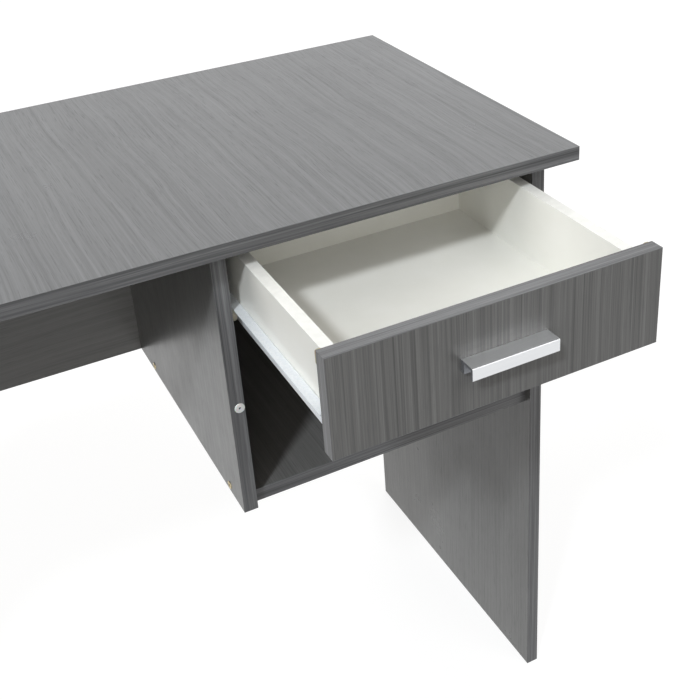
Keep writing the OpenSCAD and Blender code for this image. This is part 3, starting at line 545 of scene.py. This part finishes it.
front_print = grey_board(
    "drawer_front_print", "y", "z", (0.0, 1.1, 0.2), deep_ink, wander=0.006, band_share=0.3, contrast=0.55,
)
dress(front_print, "drawer_front")
low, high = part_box("drawer_front_edge_bands")
foot, top = low.z + band_t, high.z - band_t
for name, at_low, at_high, outward, grain in (
    ("front_upper_band", (low.x, low.y, top), high, (0, 0, 1), "x"),
    ("front_lower_band", low, (high.x, high.y, foot), (0, 0, -1), "x"),
    ("front_left_band", (low.x, low.y, foot), (low.x + band_t, high.y, top), (-1, 0, 0), "z"),
    ("front_right_band", (high.x - band_t, low.y, foot), (high.x, high.y, top), (1, 0, 0), "z"),
):
    edge_strip(name, at_low, at_high, outward, "drawer_front_edge_bands", "drawer",
               band_prints[grain])


# Handle. An extruded aluminium section, open from below, cut to length, brushed
# lengthwise and anodised. Two machine screws hold its rear strip from inside.

pull_plate, pull_top, pull_strip = 0.003, 0.0025, 0.005
pull_rounding, pull_easing = 0.0008, 0.00025
sharp_angle = 0.9
low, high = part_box("drawer_handle")
pull_l = high.x - low.x
plate_y, strip_y, web_z = low.y + pull_plate, high.y - pull_strip, high.z - pull_top
section = [
    (high.y, low.z), (high.y, high.z), (low.y, high.z), (low.y, low.z),
    (plate_y, low.z), (plate_y, web_z), (strip_y, web_z), (strip_y, low.z),
]
pull = bmesh.new()
end_face = pull.faces.new([pull.verts.new((low.x, y, z)) for y, z in section])
drawn = bmesh.ops.extrude_face_region(pull, geom=[end_face])
drawn_verts = [v for v in drawn["geom"] if isinstance(v, bmesh.types.BMVert)]
bmesh.ops.translate(pull, vec=(pull_l, 0, 0), verts=drawn_verts)
front_edges = [
    e for e in pull.edges
    if abs(e.calc_length() - pull_l) < 1e-6 and e.verts[0].co.y < low.y + 0.0001
]
eased(pull, front_edges, offset=pull_rounding, segments=4)
bmesh.ops.recalc_face_normals(pull, faces=pull.faces)
sharp = [e for e in pull.edges if e.calc_face_angle(0) > sharp_angle]
eased(pull, sharp, offset=pull_easing, segments=2)

brush_count = (25, 3500, 3500)
brushed_shade = (0.74, 0.755, 0.775, 1)
brushed_light = (0.86, 0.87, 0.88, 1)
brushed, tree, shader, where = new_finish("brushed_aluminium", Metallic=1.0)
lines = noise(tree, scaled(tree, where.outputs["Object"], brush_count), 1, detail=3).outputs[0]
feed(tree, shader.inputs["Base Color"], blend(tree, lines, brushed_shade, brushed_light))
sheen = handled(tree, where, roughness=0.4, amount=0.05)
line_dullness = spread(tree, lines, 0.3, 0.7, -0.05, 0.08)
feed(tree, shader.inputs["Roughness"], sums(tree, "ADD", sheen, line_dullness))
bumped(tree, shader, lines, strength=0.1, distance=0.0001)
section_piece = finished(pull, "handle_section", "drawer_handle", "drawer", brushed)

# The hollow and the cut ends get a dark grey metal: painted shade for the shadow inside the section and on
# its ends
painted_shade_metal = plain_metal("painted_shade_finish", (0.3, 0.31, 0.33, 1), roughness=0.6, speckle=1100)
section_piece.data.materials.append(painted_shade_metal)
hollow_front, hollow_back, hollow_top = plate_y - 1e-5, high.y - 1e-4, high.z - 0.001
for face in section_piece.data.polygons:
    hollow = hollow_front < face.center.y < hollow_back and face.center.z < hollow_top
    cut_end = abs(face.normal.x) > 0.9
    if hollow or cut_end:
        face.material_index = 1
dress(zinc_plate, "handle_screws")


# Buffers. Two soft amber blocks stuck to the back of the drawer front, beside the
# box, so that the drawer closes without a knock.

buffer_w = 0.0065
buffer_rounding = 0.0026
amber_dark = (0.3, 0.27, 0.14, 1)
amber_pale = (0.52, 0.47, 0.27, 1)
rubber, tree, shader, where = new_finish(
    "buffer_rubber", Roughness=0.45, Subsurface_Weight=0.4, Subsurface_Scale=0.004, Transmission_Weight=0.15,
)
haze = noise(tree, where.outputs["Object"], 260, detail=3).outputs[0]
feed(tree, shader.inputs["Base Color"], blend(tree, haze, amber_dark, amber_pale))
bumped(tree, shader, haze, strength=0.1, distance=0.0003)
low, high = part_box("drawer_front_buffers")
for side, x in (("left", low.x), ("right", high.x - buffer_w)):
    pad = block(Vector((x, low.y, low.z)), Vector((x + buffer_w, high.y, high.z)))
    outer = [e for e in pad.edges if any(v.co.y > high.y - 1e-6 for v in e.verts)]
    eased(pad, outer, offset=buffer_rounding, segments=5, profile=0.6)
    finished(pad, side + "_buffer", "drawer_front_buffers", "drawer", rubber,
             smooth=True)


# Room. A plain floor and surround that the camera sees as white, a crisp lamp high at
# the left in front, four broad ones round it, and soft light from above.

white = (1, 1, 1, 1)
room = bpy.data.worlds.new("white_room")
bpy.context.scene.world = room
room.use_nodes = True
tree = room.node_tree
sky = add(tree, "ShaderNodeTexCoord")
rise = add(tree, "ShaderNodeSeparateXYZ", {0: sky.outputs["Generated"]})
overhead = spread(tree, rise.outputs[2], 0, 1, 0.04, 0.46)
lit = add(tree, "ShaderNodeBackground", {"Color": (1, 0.98, 0.92, 1), "Strength": overhead})
shown = add(tree, "ShaderNodeBackground", {"Color": white, "Strength": 1.0})


def seen_or_mirrored(tree, path):
    mirrored = sums(tree, "MAXIMUM", path.outputs["Is Glossy Ray"], path.outputs["Is Transmission Ray"])
    return sums(tree, "MAXIMUM", path.outputs["Is Camera Ray"], mirrored)


path = add(tree, "ShaderNodeLightPath")
either = add(tree, "ShaderNodeMixShader", {
    0: seen_or_mirrored(tree, path), 1: lit.outputs[0], 2: shown.outputs[0],
})
tree.links.new(either.outputs[0], tree.nodes["World Output"].inputs["Surface"])

floor_reach = 9
floor_drop = 0.0004
ground = bmesh.new()
bmesh.ops.create_grid(ground, x_segments=1, y_segments=1, size=floor_reach)
bmesh.ops.translate(ground, vec=(0, 0, cad_low.z - floor_drop), verts=ground.verts)
ground_mesh = bpy.data.meshes.new("room_floor")
ground.to_mesh(ground_mesh)
ground.free()

# The floor sends little light back, is white in mirrors, and shows the camera a shadow
paint = bpy.data.materials.new("floor_paint")
paint.use_nodes = True
tree = paint.node_tree
tree.nodes.clear()
dim = add(tree, "ShaderNodeBsdfDiffuse", {"Color": (0.06, 0.06, 0.06, 1)})
pale = add(tree, "ShaderNodeEmission", {"Color": white, "Strength": 1.0})
shade = add(tree, "ShaderNodeBsdfDiffuse", {"Color": (0.2, 0.2, 0.2, 1)})
glow = add(tree, "ShaderNodeEmission", {"Color": white, "Strength": 0.85})
bright = add(tree, "ShaderNodeAddShader", {0: shade.outputs[0], 1: glow.outputs[0]})
path = add(tree, "ShaderNodeLightPath")
mirrored = add(tree, "ShaderNodeMixShader", {
    0: seen_or_mirrored(tree, path), 1: dim.outputs[0], 2: pale.outputs[0],
})
floor_look = add(tree, "ShaderNodeMixShader", {
    0: path.outputs["Is Camera Ray"], 1: mirrored.outputs[0], 2: bright.outputs[0],
})
out = add(tree, "ShaderNodeOutputMaterial")
tree.links.new(floor_look.outputs[0], out.inputs["Surface"])
ground_mesh.materials.append(paint)
ground_object = bpy.data.objects.new("room_floor", ground_mesh)
bpy.context.collection.objects.link(ground_object)
ground_object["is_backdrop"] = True

# Each lamp's strength, colour, apparent width, direction and height, in degrees. The
# rear one stays out of reflections, so that it leaves no glare on the desktop.
for name, energy, colour, width, azimuth, height in (
    ("key_lamp", 1.55, (0.92, 0.965, 1.0), 6, -138, 44),
    ("left_lamp", 1.0, (1, 0.99, 0.97), 40, 172, 32),
    ("right_front_lamp", 0.7, (1, 0.99, 0.97), 30, -62, 45),
    ("low_front_lamp", 0.58, (1, 0.98, 0.93), 35, -108, 20),
    ("rear_lamp", 1.0, (1, 1, 1), 40, 55, 30),
):
    lamp = bpy.data.objects.new(name, bpy.data.lights.new(name, "SUN"))
    bpy.context.collection.objects.link(lamp)
    lamp.data.energy = energy
    lamp.data.color = colour
    lamp.visible_glossy = name != "rear_lamp"
    lamp.data.angle = math.radians(width)
    lamp.rotation_euler = (0, math.radians(90 - height), math.radians(azimuth))

bpy.context.scene.view_settings.view_transform = "Standard"

low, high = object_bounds()
